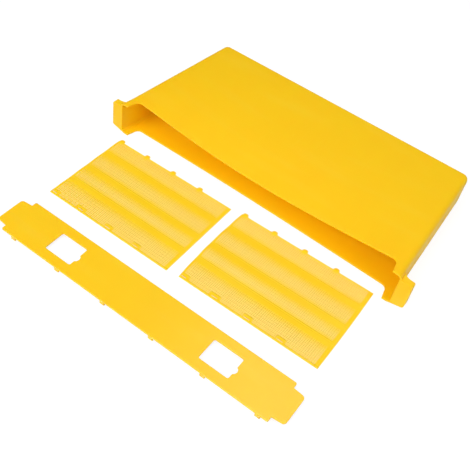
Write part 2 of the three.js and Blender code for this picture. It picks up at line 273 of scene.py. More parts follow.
def weigh_normals(obj, degrees):
    """Lets the large faces set the normals, so that flat faces stay flat beside small edges."""
    smooth(obj.data, degrees)
    modifier = obj.modifiers.new("normals", "WEIGHTED_NORMAL")
    modifier.keep_sharp = True
    apply_modifiers(obj)


def grid_faces(row_ids):
    """Quads between rows of vertex numbers, each row running round the section."""
    faces = []
    for low, high in zip(row_ids, row_ids[1:]):
        count = len(low)
        for i in range(count):
            j = (i + 1) % count
            faces.append((low[i], low[j], high[j], high[i]))
    return faces


def outward(points, faces):
    """The faces of a closed body, turned so that they face out."""
    places = np.asarray(points)
    volume = 0
    for face in faces:
        first = places[face[0]]
        for b, c in zip(face[1:], face[2:]):
            volume += np.dot(first, np.cross(places[b], places[c]))
    return faces if volume > 0 else [face[::-1] for face in faces]


def closed_loft(rows):
    """A closed body from rows of points, with a fan at each end."""
    points = [point for row in rows for point in row]
    count = len(rows[0])
    ids = [list(range(k * count, (k + 1) * count)) for k in range(len(rows))]
    faces = grid_faces(ids)
    for row, ring, flip in ((rows[0], ids[0], True), (rows[-1], ids[-1], False)):
        points.append(tuple(np.mean(np.array(row), axis=0)))
        centre = len(points) - 1
        for i in range(count):
            j = (i + 1) % count
            faces.append((ring[j], ring[i], centre) if flip else (ring[i], ring[j], centre))
    return points, outward(points, faces)


def gathered(bodies):
    """The points and faces of several bodies as one."""
    points = []
    faces = []
    for some_points, some_faces in bodies:
        start = len(points)
        points += some_points
        faces += [tuple(v + start for v in face) for face in some_faces]
    return points, faces


def rounded_outline(corners, steps=6):
    """Points of a closed outline whose corners (x, y, radius) are rounded."""
    points = []
    for k, (x, y, radius) in enumerate(corners):
        here = Vector((x, y))
        before = Vector(corners[k - 1][:2])
        after = Vector(corners[(k + 1) % len(corners)][:2])
        back = here + (before - here).normalized() * radius
        ahead = here + (after - here).normalized() * radius
        for i in range(steps + 1):
            t = i / steps
            point = back * (1 - t) ** 2 + here * 2 * t * (1 - t) + ahead * t ** 2
            points.append((point.x, point.y))
    return points


# Trough.

TIP = TROUGH_LENGTH / 2
END_HALF_AT_RIM = TIP - LUG_OVERHANG
STEP_TOP_X = END_HALF_AT_RIM - CORNER_RADIUS - STEP_FROM_CORNER
STEP_FOOT_X = STEP_TOP_X - STEP_DRAFT
STRAIGHT_END = TROUGH_DEPTH - BOTTOM_CORNER_RADIUS
LUG_HIGH = RIM_THICKNESS - CORNER_RADIUS
MOUTH_STEPS = 56
FILLET_STEPS = 8
CORNER_STEPS = 8
DEPTH_STEPS = 44
ROUNDING_STEPS = 9
LIP_STEPS = 3
ROW_CROWDING = 1.6

# A place on the trough's section: its wide wall (level 1 above, -1 below) and how far down the rim
# lies there. On a wide wall it has its share of the flat half, on a corner its end and angle.
Station = namedtuple("Station", "share level end angle rim")


def thickness_at(depth):
    """The trough's outer thickness."""
    return lerp(RIM_THICKNESS, BOTTOM_THICKNESS, depth / TROUGH_DEPTH)


def flat_half_at(depth):
    """Half the length of a wide wall, up to where its rounded ends begin."""
    end_half = END_HALF_AT_RIM - END_TAPER * depth / TROUGH_DEPTH
    return end_half - CORNER_RADIUS


def flare_at(depth):
    """How far the end walls flare out towards the rim."""
    return RIM_FLARE * max(0, 1 - depth / FLARE_DEPTH) ** 2


def sag_share_at(x, depth):
    """How far the wide walls draw in, most at the middle of the mouth, as a share."""
    reach = STEP_FOOT_X + (SAG_CENTRE if x < SAG_CENTRE else -SAG_CENTRE)
    left = max(0, 1 - abs(x - SAG_CENTRE) / reach)
    whole = math.hypot(1, SAG_EASE_SHARE) - SAG_EASE_SHARE
    eased = (math.hypot(left, SAG_EASE_SHARE) - SAG_EASE_SHARE) / whole
    down = min(1, max(0, (depth - MOUTH_DROP) / (TROUGH_DEPTH - MOUTH_DROP)))
    return math.sin(eased * math.pi / 2) * (1 - down) ** SAG_FADE_POWER


def rim_plan():
    """The rim of a wide wall in plan, from one end to the other."""
    half = []
    for i in range(MOUTH_STEPS // 2 + 1):
        half.append(((STEP_FOOT_X - STEP_FILLET) * i / (MOUTH_STEPS // 2), MOUTH_DROP))
    for i in range(1, FILLET_STEPS + 1):
        angle = math.pi / 2 * i / FILLET_STEPS
        x = STEP_FOOT_X - STEP_FILLET * (1 - math.sin(angle))
        half.append((x, MOUTH_DROP - STEP_FILLET * (1 - math.cos(angle))))
    foot = half[-1]
    for share in DRAFT_SHARES:
        half.append((lerp(foot[0], STEP_TOP_X, share), lerp(foot[1], 0, share)))
    half.append((lerp(STEP_TOP_X, flat_half_at(0), 0.5), 0))
    half.append((flat_half_at(0), 0))
    mirrored = [(-x, y) for x, y in reversed(half[1:])]
    return mirrored + half


def section_stations():
    """The stations round the trough's section, clockwise as seen through the mouth."""
    wide = [Station(x / flat_half_at(y), 1, None, None, y) for x, y in rim_plan()]
    falling = [math.pi / 2 * (1 - i / CORNER_STEPS) for i in range(1, CORNER_STEPS + 1)]
    rising = falling[::-1]

    def corner(level, end, angles):
        return [Station(None, level, end, angle, 0) for angle in angles]

    under = [station._replace(level=-1) for station in reversed(wide)]
    right = corner(1, 1, falling) + corner(-1, 1, rising[1:])
    left = corner(-1, -1, falling) + corner(1, -1, rising[1:])
    return wide + right + under + left


def trough_point(station, depth, inset):
    """The point of a station at a depth, moved inwards by inset."""
    height = TROUGH_DEPTH - inset - depth

    def pull(radius):
        rise = max(0, radius - height)
        return radius - math.sqrt(max(0, radius * radius - rise * rise))

    flat = flat_half_at(depth) - pull(BOTTOM_CORNER_RADIUS - inset)
    draw_in = pull(BOTTOM_EDGE_RADIUS - inset)
    if station.end is None:
        x = station.share * flat
        sag = UPPER_SAG if station.level > 0 else LOWER_SAG
        below = inset + draw_in + sag * sag_share_at(x, depth)
    else:
        across = CORNER_RADIUS + flare_at(depth) - inset
        x = station.end * (flat + across * math.cos(station.angle))
        below = CORNER_RADIUS - (CORNER_RADIUS - inset - draw_in) * math.sin(station.angle)
    z = thickness_at(depth) - below if station.level > 0 else below
    return (x, depth, z)


def wall_rows(stations, inset, start_depth=None, start_below=0):
    """Rows of points from the rim to the bottom."""
    rows = []
    for k in range(DEPTH_STEPS + 1):
        share = (k / DEPTH_STEPS) ** ROW_CROWDING
        row = []
        for station in stations:
            start = station.rim + start_below if start_depth is None else start_depth
            row.append(trough_point(station, lerp(start, STRAIGHT_END, share), inset))
        rows.append(row)
    radius = BOTTOM_CORNER_RADIUS - inset
    for k in range(1, ROUNDING_STEPS + 1):
        depth = STRAIGHT_END + radius * math.sin(math.pi / 2 * k / ROUNDING_STEPS)
        rows.append([trough_point(station, depth, inset) for station in stations])
    return rows


def lip_rows(stations):
    """The rounded rim, from the outer face to the inner one, without the faces' own rows."""
    profile = []
    for k in range(LIP_STEPS + 1):
        angle = math.pi / 2 * k / LIP_STEPS
        profile.append((LIP_RADIUS * (1 - math.cos(angle)), LIP_RADIUS * (1 - math.sin(angle))))
    profile += [(WALL - inset, below) for inset, below in reversed(profile)]
    rows = []
    for inset, below in profile[1:-1]:
        rows.append([trough_point(s, s.rim + below, inset) for s in stations])
    return rows


def trough_shell(stations, placement):
    outer = wall_rows(stations, 0, start_below=LIP_RADIUS)
    inner = wall_rows(stations, WALL, start_below=LIP_RADIUS)
    rows = outer[::-1] + lip_rows(stations) + inner
    points, faces = closed_loft(rows)
    return mesh_object("trough_shell", points, faces, placement)


def lug_low_at(x):
    root = flat_half_at(0)
    return LUG_TIP_RISE * (x - root) / (TIP - root)


def lug_section(x, wall_at_gusset):
    """A rounded rectangle in Y and Z, at x along the lug."""
    spread = min(1, math.sqrt(max(0, (x - wall_at_gusset) / LUG_GUSSET)))
    y_high = LUG_DEPTH + LUG_GUSSET * (1 - spread) ** 2

    def shrink(radius):
        past = max(0, x - (TIP - radius))
        return radius - math.sqrt(max(0, radius * radius - past * past))

    edge = shrink(LUG_EDGE)
    corner = max(shrink(LUG_CORNER), edge)
    y_low = edge
    y_high -= edge
    z_low = lug_low_at(x) + corner
    z_high = LUG_HIGH - corner
    radius = LUG_EDGE * LUG_EDGE_SHARE
    outline = rounded_outline([
        (y_low, z_low, radius),
        (y_high, z_low, radius),
        (y_high, z_high, radius),
        (y_low, z_high, radius),
    ], steps=LUG_EDGE_STEPS)
    return [(x, y, z) for y, z in outline]


def lug(stations, placement):
    """The lug on the +X end: a closed top, a skirt, and three gussets out to the wall."""
    root = flat_half_at(0)
    gusset_foot = LUG_DEPTH + LUG_GUSSET
    wall_at_gusset = flat_half_at(gusset_foot) + CORNER_RADIUS
    places = [root, lerp(root, wall_at_gusset, 0.5)]
    for k in range(LUG_GUSSET_STEPS + 1):
        places.append(wall_at_gusset + LUG_GUSSET * (k / LUG_GUSSET_STEPS) ** 2)
    for k in range(LUG_TIP_STEPS):
        places.append(TIP - LUG_CORNER * (1 - math.sin(math.pi / 2 * k / LUG_TIP_STEPS)))
    places += [TIP - share * LUG_EDGE for share in LUG_LAST_SHARES]
    places = sorted(set(round(x, 6) for x in places))
    rows = [lug_section(x, wall_at_gusset) for x in places]
    points, faces = closed_loft(rows)
    body = mesh_object("lug", points, faces, placement)
    middle = (LUG_TIP_RISE + LUG_HIGH) / 2
    ends = (root - OVERRUN, TIP - LUG_SKIN)
    pockets = (
        ([lug_low_at(x) + LUG_SKIN for x in ends], [middle - LUG_SKIN / 2] * 2),
        ([middle + LUG_SKIN / 2] * 2, [LUG_HIGH - LUG_SKIN] * 2),
    )
    far = gusset_foot + OVERRUN
    for lows, highs in pockets:
        rows = [
            [(x, LUG_SKIN, low), (x, far, low), (x, far, high), (x, LUG_SKIN, high)]
            for x, low, high in zip(ends, lows, highs)
        ]
        points, faces = closed_loft(rows)
        combine(body, mesh_object("pocket", points, faces, placement), "DIFFERENCE")
    points, faces = closed_loft(wall_rows(stations, WALL / 2, start_depth=-OVERRUN))
    combine(body, mesh_object("mid_wall", points, faces, placement), "DIFFERENCE")
    return body


def make_trough():
    low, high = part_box("trough")
    origin = Vector(((low.x + high.x) / 2, low.y, low.z))
    placement = Matrix.Translation(origin) @ Matrix.Scale(MM, 4)
    mirrored = placement @ Matrix.Diagonal((-1, 1, 1, 1))
    stations = section_stations()
    shell = trough_shell(stations, placement)
    right = lug(stations, placement)
    left = right.copy()
    left.data = right.data.copy()
    bpy.context.scene.collection.objects.link(left)
    flip = mirrored @ placement.inverted()
    left.data.transform(flip)
    left.data.flip_normals()
    combine(shell, right, "UNION")
    combine(shell, left, "UNION")
    shell.name = "feeder_trough"
    weigh_normals(shell, TROUGH_SHARP)
    return shell


# Cap strip.

CAP_HALF_LENGTH = END_HALF_AT_RIM + RIM_FLARE - WALL - CAP_END_CLEARANCE
CAP_MAIN_HALF = STEP_FOOT_X - STEP_FILLET - CAP_SEAT_CLEARANCE
CAP_HALF_WIDTH = thickness_at(MOUTH_DROP) / 2 + CAP_LIP
TAB_ROOT_HALF = RIM_THICKNESS / 2 - WALL - TAB_CLEARANCE
TAB_END_HALF = TAB_ROOT_HALF - TAB_TAPER
HOLE_HALF_LENGTH = TUBE_DEEP / 2 + TUBE_CLEARANCE
HOLE_HALF_WIDTH = TUBE_WIDE / 2 + TUBE_CLEARANCE
SNAP_INNER_FACE = thickness_at(MOUTH_DROP) / 2 + SNAP_CLEARANCE


def cap_outline():
    corners = []
    for end, order in ((1, -1), (-1, 1)):
        corners.append((end * CAP_MAIN_HALF, order * CAP_HALF_WIDTH, CAP_CORNER))
        corners.append((end * CAP_MAIN_HALF, order * TAB_ROOT_HALF, TAB_ROOT_CORNER))
        corners.append((end * CAP_HALF_LENGTH, order * TAB_END_HALF, TAB_CORNER))
        corners.append((end * CAP_HALF_LENGTH, -order * TAB_END_HALF, TAB_CORNER))
        corners.append((end * CAP_MAIN_HALF, -order * TAB_ROOT_HALF, TAB_ROOT_CORNER))
        corners.append((end * CAP_MAIN_HALF, -order * CAP_HALF_WIDTH, CAP_CORNER))
    return rounded_outline(corners)


def hole_outline(x):
    """A ladder hole with the finger notch in its +X side."""
    right = x + HOLE_HALF_LENGTH
    left = x - HOLE_HALF_LENGTH
    low = NOTCH_OFFSET - NOTCH_WIDTH / 2
    plain = rounded_outline([
        (left, HOLE_HALF_WIDTH, HOLE_CORNER),
        (left, -HOLE_HALF_WIDTH, HOLE_CORNER),
        (right, -HOLE_HALF_WIDTH, HOLE_CORNER),
        (right, HOLE_HALF_WIDTH, HOLE_CORNER),
    ], steps=HOLE_CORNER_STEPS)
    notch = []
    for k in range(NOTCH_STEPS + 1):
        t = k / NOTCH_STEPS
        out = NOTCH_DEPTH * (1 - (2 * t - 1) ** 2) ** NOTCH_POWER
        notch.append((right + out, low + NOTCH_WIDTH * t))
    three_corners = 3 * (HOLE_CORNER_STEPS + 1)
    return plain[:three_corners] + notch + plain[three_corners:]


def plate(name, outlines, low, high, edge, placement):
    """A flat plate with holes and rounded edges, from its outline and its holes' outlines."""
    curve = bpy.data.curves.new(name, "CURVE")
    curve.dimensions = "2D"
    curve.fill_mode = "BOTH"
    curve.extrude = (high - low) / 2 - edge
    curve.bevel_depth = edge
    curve.bevel_resolution = BEVEL_STEPS
    curve.offset = -edge
    for outline in outlines:
        spline = curve.splines.new("POLY")
        spline.points.add(len(outline) - 1)
        for point, (x, y) in zip(spline.points, outline):
            point.co = (x, y, 0, 1)
        spline.use_cyclic_u = True
    carrier = bpy.data.objects.new(name, curve)
    bpy.context.scene.collection.objects.link(carrier)
    graph = bpy.context.evaluated_depsgraph_get()
    mesh = bpy.data.meshes.new_from_object(carrier.evaluated_get(graph), depsgraph=graph)
    bpy.data.objects.remove(carrier)
    bpy.data.curves.remove(curve)
    work = bmesh.new()
    work.from_mesh(mesh)
    bmesh.ops.remove_doubles(work, verts=work.verts, dist=WELD_DISTANCE)
    bmesh.ops.recalc_face_normals(work, faces=work.faces)
    work.to_mesh(mesh)
    work.free()
    mesh.name = name
    mesh.transform(placement @ Matrix.Translation((0, 0, (low + high) / 2)))
    obj = bpy.data.objects.new(name, mesh)
    bpy.context.scene.collection.objects.link(obj)
    return obj


def snap(x, side):
    """One clip: it hangs outside the trough's wide wall, with a lead-in inside."""
    inner = side * SNAP_INNER_FACE
    outer = side * (SNAP_INNER_FACE + SNAP_THICKNESS)
    lead = side * (SNAP_INNER_FACE + SNAP_LEAD_IN)
    top = SNAP_HEIGHT + CAP_PLATE / 2

    def profile(shrink):
        shift = side * shrink
        return [
            (inner + shift, top),
            (inner + shift, SNAP_LEAD_IN),
            (lead, shrink),
            (outer - shift - side * SNAP_EDGE, shrink),
            (outer - shift, SNAP_EDGE + shrink),
            (outer - shift, top),
        ]

    half = SNAP_LENGTH / 2
    rows = []
    for along, shrink in ((-half, SNAP_EDGE), (-half + SNAP_EDGE, 0),
                          (half - SNAP_EDGE, 0), (half, SNAP_EDGE)):
        rows.append([(x + along, y, z) for y, z in profile(shrink)])
    return closed_loft(rows)


def make_cap():
    low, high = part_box("cap")
    centre = (low + high) / 2
    centre.z = low.z
    placement = Matrix.Translation(centre) @ Matrix.Rotation(CAP_TURN, 4, "Z")
    placement = placement @ Matrix.Scale(MM, 4)
    outlines = [cap_outline(), hole_outline(-HOLE_FROM_MIDDLE), hole_outline(HOLE_FROM_MIDDLE)]
    body = plate(
        "cap_strip", outlines, SNAP_HEIGHT, SNAP_HEIGHT + CAP_PLATE, CAP_EDGE, placement,
    )
    outermost = CAP_MAIN_HALF - SNAP_FROM_END
    snaps = []
    for side in (-1, 1):
        for i in range(SNAP_COUNT):
            x = lerp(-outermost, outermost, i / (SNAP_COUNT - 1)) - side * SNAP_OFFSET
            snaps.append(snap(x, side))
    points, faces = gathered(snaps)
    combine(body, mesh_object("snaps", points, faces, placement), "UNION")
    weigh_normals(body, CAP_SHARP)
    return body


# Mesh ladders.

KNOB_SIDE_WIDTH = TUBE_WIDE - SHEET - TUBE_CLEARANCE
BACK_WIDTH = TUBE_DEEP - EYELET_FLAP
LADDER_WIDTH = TUBE_DEEP + TUBE_WIDE + BACK_WIDTH + KNOB_SIDE_WIDTH
PANEL_WIDTHS = dict(zip(PANELS, (TUBE_DEEP, TUBE_WIDE, BACK_WIDTH, KNOB_SIDE_WIDTH)))
# Where the panels meet, from the ladder's near edge to its far edge.
FOLD_LINES = [0, *accumulate(PANEL_WIDTHS.values())]

# A line of a net panel's grid: its place, how far the net's top rises there above its lowest
# edges, and how far its lower end leans into the gap beside it.
Line = namedtuple("Line", "place rise lean")


def ladder_placement(side):
    """Where the ladder's near-left corner lies, from the hinge of its base and its back side."""
    joint = next(j for j in frame["joints"] if j["name"] == f"{side}_back_fold")
    along = Vector(joint["axis"]).normalized()
    across = UP.cross(along)
    corner = Vector(joint["pos_m"])
    corner -= (along * LADDER_LENGTH / 2 + across * (TUBE_DEEP + TUBE_WIDE)) * MM
    turn = Matrix((along, across, UP)).transposed().to_4x4()
    return Matrix.Translation(corner) @ turn @ Matrix.Scale(MM, 4)


def laid(side, points):
    """The points of a flat ladder, as it lies: its thin panels bow up between their folds."""
    lie = LADDERS[side]
    points = np.array(points, float)
    along = points[:, 0] / LADDER_LENGTH
    middle = np.sin(np.pi * np.clip(points[:, 1] / LADDER_WIDTH, 0, 1))
    share = np.interp(points[:, 1], FOLD_LINES, range(len(FOLD_LINES)))
    crown = np.sin(np.pi * share) ** 2
    ripple = 0.5 + 0.5 * np.sin(2 * np.pi * points[:, 0] / lie.wave + lie.phase)
    lift = lie.lift * np.sin(np.pi * np.clip(along, 0, 1)) ** 2 + RIPPLE * ripple
    lift += lie.start_lift * np.exp(-points[:, 0] / START_CURL)
    points[:, 2] += lift * crown
    points[:, 0] -= lie.start_bow * middle * (1 - along) ** 2
    points[:, 0] += lie.end_bow * middle * along ** 2
    return points


def knob_centres():
    return [FIRST_KNOB + i * KNOB_PITCH for i in range(KNOB_COUNT)]


def net_lines(low, high, pitch, near_reach, far_reach):
    """The lines and gaps of the net between two borders. Every second strand is heavier, and
    the gaps narrow over the reaches towards the borders."""
    count = 2 * round((high - low) / pitch / 2)
    pitch = (high - low) / count
    gaps = []
    for k in range(count):
        middle = low + pitch * (k + 0.5) + (PAIRING if k % 2 == 0 else -PAIRING)
        near = min(1, (middle - low) / near_reach)
        far = min(1, (high - middle) / far_reach)
        half = lerp(GAP_AT_BAND, GAP, min(near, far)) / 2
        gaps.append((middle - half, middle + half))
    lines = []
    for k, (start, end) in enumerate(gaps):
        after_heavy = k % 2 == 0
        lines.append(Line(start, HEAVY_EDGE if after_heavy else 0, LEAN))
        lines.append(Line(end, 0 if after_heavy else HEAVY_EDGE, -LEAN))
        if k + 1 < count:
            crown = FINE_CROWN if after_heavy else HEAVY_CROWN
            lines.append(Line((end + gaps[k + 1][0]) / 2, crown, 0))
    return lines, gaps


def settled(lines, fixed):
    """Sorted lines, without any that lies on or beside a fixed one."""
    kept = [Line(place, 0, 0) for place in sorted(set(fixed))]
    for line in sorted(lines):
        if all(abs(line.place - other.place) > LINE_SPACING for other in kept):
            kept.append(line)
    return np.array(sorted(kept)).T


def spans(centres, ranges):
    """Which centres lie inside one of the ranges."""
    inside = np.zeros(len(centres), bool)
    for low, high in ranges:
        inside |= (centres > low) & (centres < high)
    return inside


def boxed(cx, cy, boxes):
    """Which cells lie inside one of the boxes."""
    inside = np.zeros((len(cx), len(cy)), bool)
    for x0, x1, y0, y1 in boxes:
        inside |= spans(cx, [(x0, x1)])[:, None] & spans(cy, [(y0, y1)])[None, :]
    return inside


def sheet_mesh(solid, top, bottom, upper_lines, lower_lines):
    """A closed body over the solid cells of a grid, whose lower lines may lean."""
    nx, ny = top.shape
    upper = np.stack([*np.meshgrid(*upper_lines, indexing="ij"), top], axis=-1)
    lower = np.stack([*np.meshgrid(*lower_lines, indexing="ij"), bottom], axis=-1)
    points = np.concatenate([upper.reshape(-1, 3), lower.reshape(-1, 3)])
    ids = np.arange(nx * ny).reshape(nx, ny)
    under = ids + nx * ny

    def quads(mask, a, b, c, d):
        return np.stack([a[mask], b[mask], c[mask], d[mask]], axis=-1)

    faces = [
        quads(solid, ids[:-1, :-1], ids[1:, :-1], ids[1:, 1:], ids[:-1, 1:]),
        quads(solid, under[:-1, :-1], under[:-1, 1:], under[1:, 1:], under[1:, :-1]),
    ]
    wide = np.zeros((nx + 1, ny - 1), bool)
    wide[1:-1] = solid
    low_side = wide[1:] & ~wide[:-1]
    high_side = wide[:-1] & ~wide[1:]
    faces.append(quads(low_side, under[:, 1:], under[:, :-1], ids[:, :-1], ids[:, 1:]))
    faces.append(quads(high_side, under[:, :-1], under[:, 1:], ids[:, 1:], ids[:, :-1]))
    tall = np.zeros((nx - 1, ny + 1), bool)
    tall[:, 1:-1] = solid
    low_side = tall[:, 1:] & ~tall[:, :-1]
    high_side = tall[:, :-1] & ~tall[:, 1:]
    faces.append(quads(low_side, under[:-1], under[1:], ids[1:], ids[:-1]))
    faces.append(quads(high_side, under[1:], under[:-1], ids[:-1], ids[1:]))
    faces = np.concatenate(faces)
    used, compact = np.unique(faces, return_inverse=True)
    return points[used], compact.reshape(faces.shape)


def eyelet_places(gaps_x, gaps_y):
    """The pads round the eyelets, out to the nearest gaps' edges, and the slots in them."""
    edges_x = [edge for gap in gaps_x for edge in gap]
    edges_y = [edge for gap in gaps_y for edge in gap]
    pads = []
    slots = []
    for x in knob_centres():
        pad_low = min(edges_x, key=lambda edge: abs(edge - (x - PAD_LENGTH / 2)))
        pad_high = min(edges_x, key=lambda edge: abs(edge - (x + PAD_LENGTH / 2)))
        pad_far = min(edges_y, key=lambda edge: abs(edge - PAD_DEPTH))
        pads.append((0 if x < PAD_LENGTH / 2 else pad_low, pad_high, 0, pad_far))
        half = KNOB_WIDTH / 2 + SLOT_ROOM_ALONG
        low = EYELET_FLAP - SLOT_ROOM
        slots.append((max(SLOT_ROOM, x - half), x + half, low, low + KNOB_HEIGHT + 2 * SLOT_ROOM))
    return pads, slots


def panel(side, part, start):
    """One net panel, whose near edge lies start across the ladder."""
    width = PANEL_WIDTHS[part]
    hinged_near = part != "eyelet_side"
    hinged_far = part != "knob_side"
    near_border = BAND_AFTER_FOLD if hinged_near else EYELET_BORDER
    far_border = BAND_BEFORE_FOLD if hinged_far else KNOB_BORDER
    end_start = LADDER_LENGTH - END_BORDER
    far_start = width - far_border
    lines_x, gaps_x = net_lines(START_BORDER, end_start, NET_ALONG, BORDER_REACH, BORDER_REACH)
    lines_y, gaps_y = net_lines(
        near_border, far_start, NET_ACROSS,
        REACH_AFTER_FOLD if hinged_near else BORDER_REACH,
        REACH_BEFORE_FOLD if hinged_far else BORDER_REACH,
    )
    fixed_x = [0, LADDER_LENGTH]
    fixed_y = [PANEL_END if hinged_near else 0, width - (PANEL_END if hinged_far else 0)]
    fixed_y += [GROOVE_HALF, BAND_AFTER_FOLD] if hinged_near else [EDGE_ROUND]
    fixed_y += [width - GROOVE_HALF, width - BAND_AFTER_FOLD] if hinged_far else [width - EDGE_ROUND]
    pads, slots = eyelet_places(gaps_x, gaps_y) if part == "eyelet_side" else ([], [])
    for x0, x1, y0, y1 in slots:
        fixed_x += [x0, x1]
        fixed_y += [y0, y1]
    for place in (EDGE_ROUND, START_BORDER - BAND_SLOPE, end_start + BAND_SLOPE,
                  LADDER_LENGTH - EDGE_ROUND):
        lines_x.append(Line(place, 0, 0))
    for place in (near_border - BAND_SLOPE, far_start + BAND_SLOPE):
        lines_y.append(Line(place, 0, 0))
    xs, rise_x, lean_x = settled(lines_x, fixed_x)
    ys, rise_y, lean_y = settled(lines_y, fixed_y)
    cx = (xs[:-1] + xs[1:]) / 2
    cy = (ys[:-1] + ys[1:]) / 2
    solid = ~(spans(cx, gaps_x)[:, None] & spans(cy, gaps_y)[None, :])
    solid = (solid | boxed(cx, cy, pads)) & ~boxed(cx, cy, slots)

    gx, gy = np.meshgrid(xs, ys, indexing="ij")
    near_band = ramp(near_border - gy, 0, BAND_SLOPE)
    far_band = ramp(gy - far_start, 0, BAND_SLOPE)
    ends = np.maximum(ramp(START_BORDER - gx, 0, BAND_SLOPE), ramp(gx - end_start, 0, BAND_SLOPE))
    level = np.maximum.reduce([ends, near_band * hinged_near, far_band * hinged_far])
    border = np.maximum(near_band * (not hinged_near), far_band * (not hinged_far))
    for x0, x1, y0, y1 in pads:
        inside = (gx > x0 + PAD_TOLERANCE) & (gx < x1 - PAD_TOLERANCE) & (gy < y1 - PAD_TOLERANCE)
        border = np.where(inside, 1, border)
    top = NET_EDGE + np.maximum(rise_x[:, None], rise_y[None, :])
    top = lerp(lerp(top, BAND_HIGH, level), SHEET, border)
    bottom = lerp(NET_LOW, 0, np.maximum(level, border))
    for distance, hinged in ((gy, hinged_near), (width - gy, hinged_far)):
        if hinged:
            marks = (PANEL_END, GROOVE_HALF, BAND_AFTER_FOLD)
            limit = np.interp(distance, marks, (PANEL_END_THICKNESS, BAND_HIGH, SHEET))
        else:
            limit = SHEET - EDGE_ROUND * (1 - ramp(distance, 0, EDGE_ROUND))
        top = np.minimum(top, limit)
    for distance in (gx, LADDER_LENGTH - gx):
        top = np.minimum(top, lerp(END_EDGE, SHEET, ramp(distance, 0, EDGE_ROUND)))
    points, faces = sheet_mesh(solid, top, bottom, (xs, ys), (xs + lean_x, ys + lean_y))
    points[:, 1] += start
    name = f"net_{side}_{part}"
    return mesh_object(name, laid(side, points), faces, ladder_placement(side), NET_SHARP)


def pebble(centre, half):
    """A rounded block: an ellipsoid swollen towards its box."""
    def swell(value):
        return math.copysign(abs(value) ** PEBBLE_POWER, value)

    rows = []
    for k in range(1, PEBBLE_RINGS):
        tilt = math.pi * k / PEBBLE_RINGS - math.pi / 2
        row = []
        for i in range(PEBBLE_STEPS):
            turn = 2 * math.pi * i / PEBBLE_STEPS
            row.append((
                centre[0] + half[0] * swell(math.cos(tilt)) * swell(math.cos(turn)),
                centre[1] + half[1] * swell(math.cos(tilt)) * swell(math.sin(turn)),
                centre[2] + half[2] * swell(math.sin(tilt)),
            ))
        rows.append(row)
    return closed_loft(rows)


def add_knobs(obj, side):
    """The knobs on the far edge, which pass through the eyelets when the tube is closed."""
    low = LADDER_WIDTH - KNOB_ROOT
    high = LADDER_WIDTH + SHEET + TUBE_CLEARANCE + KNOB_REACH
    half = (KNOB_WIDTH / 2, (high - low) / 2, KNOB_HEIGHT / 2)
    centres = [(x, (low + high) / 2, KNOB_HEIGHT / 2) for x in knob_centres()]
    points, faces = gathered(pebble(centre, half) for centre in centres)
    knobs = mesh_object("knobs", laid(side, points), faces, ladder_placement(side))
    combine(obj, knobs, "UNION")
    smooth(obj.data, NET_SHARP)


def hinge_web(side, name, across):
    """The web of a living hinge: a thin strip along the fold between the panels it joins, dipping a
    little along its middle.
    """
    half = GROOVE_HALF + WEB_LAP
    xs = np.linspace(WEB_SKIN, LADDER_LENGTH - WEB_SKIN, WEB_POINTS_ALONG)
    distance = np.linspace(-half, half, WEB_POINTS_ACROSS)
    ys = across + distance
    solid = np.ones((len(xs) - 1, len(ys) - 1), bool)
    dip = WEB_DIP * (1 + np.cos(np.pi * np.clip(distance / GROOVE_HALF, -1, 1))) / 2
    top = np.tile(BAND_HIGH - WEB_SKIN - dip, (len(xs), 1))
    bottom = np.full((len(xs), len(ys)), WEB_SKIN)
    points, faces = sheet_mesh(solid, top, bottom, (xs, ys), (xs, ys))
    placement = ladder_placement(side)
    obj = mesh_object(f"hinge_{side}_{name}", laid(side, points), faces, placement)
    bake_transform(obj)
    return obj


def make_ladder(side):
    made = []
    for part, start in zip(PANELS, FOLD_LINES):
        obj = panel(side, part, start)
        if part == "knob_side":
            add_knobs(obj, side)
        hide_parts(f"ladder_{side}_{part}")
        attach(obj, f"{side}_ladder_{part}")
        made.append(obj)
    bodies = [f"{side}_ladder_{part}" for part in PANELS]
    for name, across, body_a, body_b in zip(FOLDS, FOLD_LINES[1:], bodies, bodies[1:]):
        made.append(hinge_web(side, name, across))
    return made


# Materials.

# Marks that tint a plastic: noise, how it is stretched, the values between which it shows, and the
# most that it tints.
Mark = namedtuple("Mark", "scale detail stretch low high most")
CLOUDS = Mark(scale=9, detail=3, stretch=None, low=0.35, high=0.7, most=0.55)
FLOW_LINES = Mark(scale=40, detail=2, stretch=(0.18, 1, 1), low=0.52, high=0.75, most=0.22)
SCUFFS = Mark(scale=260, detail=3, stretch=(1, 0.07, 1), low=0.66, high=0.74, most=0.16)
# Worn edges: the pointiness from which they show, and the most that they tint.
EDGE_LOW = 0.53
EDGE_HIGH = 0.6
EDGE_MOST = 0.35
# Most of a noise lies between these values.
NOISE_LOW = 0.3
NOISE_HIGH = 0.7
# Patches of roughness, and how far they take it down and up.
PATCH_SCALE = 120
PATCH_DETAIL = 4
SMOOTHER = 0.05
ROUGHER = 0.07

Bump = namedtuple("Bump", "scale detail distance strength")
WAVE = Bump(scale=11, detail=1, distance=0.0012, strength=0.35)
GRAIN = Bump(scale=1500, detail=3, distance=0.00008, strength=0.05)

# What the camera sees of the floor: a flecked grey that takes light and shadow, and a glow that
# brings it to white. Other rays meet a plain pale floor.
FLOOR_GREYS = ((0.22, 0.22, 0.22), (0.23, 0.23, 0.23))
FLOOR_GLOW = 0.84
FLOOR_UNSEEN = (0.85, 0.85, 0.85, 1)
FLECK_SCALE = 300


